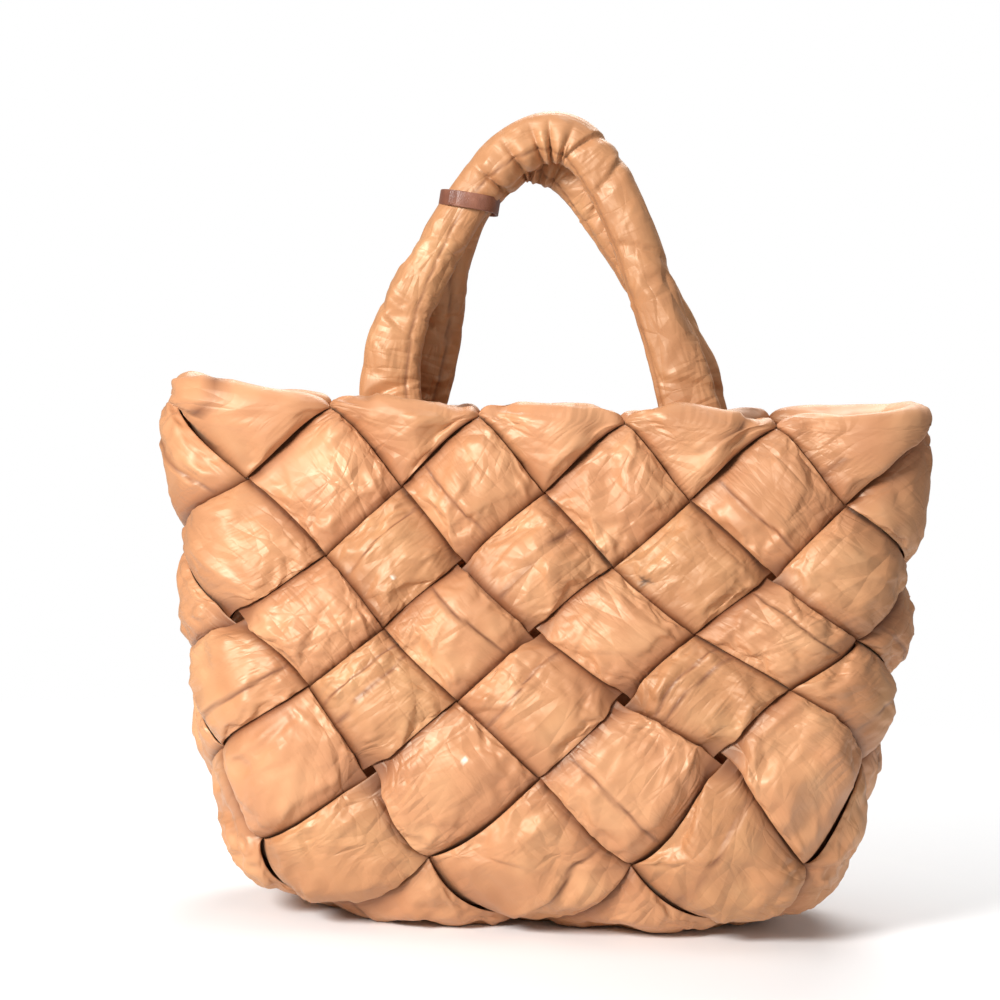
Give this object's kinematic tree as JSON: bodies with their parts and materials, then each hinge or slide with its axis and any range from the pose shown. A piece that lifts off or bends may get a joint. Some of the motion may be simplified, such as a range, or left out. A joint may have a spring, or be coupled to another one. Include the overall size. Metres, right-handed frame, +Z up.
{
  "type": "woven tote bag",
  "caption": "Large soft tote bag plaited on the bias from wide padded nylon strips, with two padded tube handles held together by a leather keeper.",
  "frame": {"origin": "on the floor, under the middle of the bag", "axes": "+Z up, +X to the right as seen from the front, and the front of the bag faces -Y"},
  "size_m": [0.4846, 0.213, 0.5152],
  "materials": {
    "nylon": "satin camel nylon, softly crinkled",
    "leather": "smooth brown leather"
  },
  "bodies": {
    "root": {"strip_01": "nylon", "strip_02": "nylon", "strip_03": "nylon", "strip_04": "nylon", "strip_05": "nylon", "strip_06": "nylon", "strip_07": "nylon", "strip_08": "nylon", "strip_09": "nylon", "strip_10": "nylon", "handle_front": "nylon", "handle_back": "nylon", "handle_keeper": "leather"}
  },
  "joints": []
}
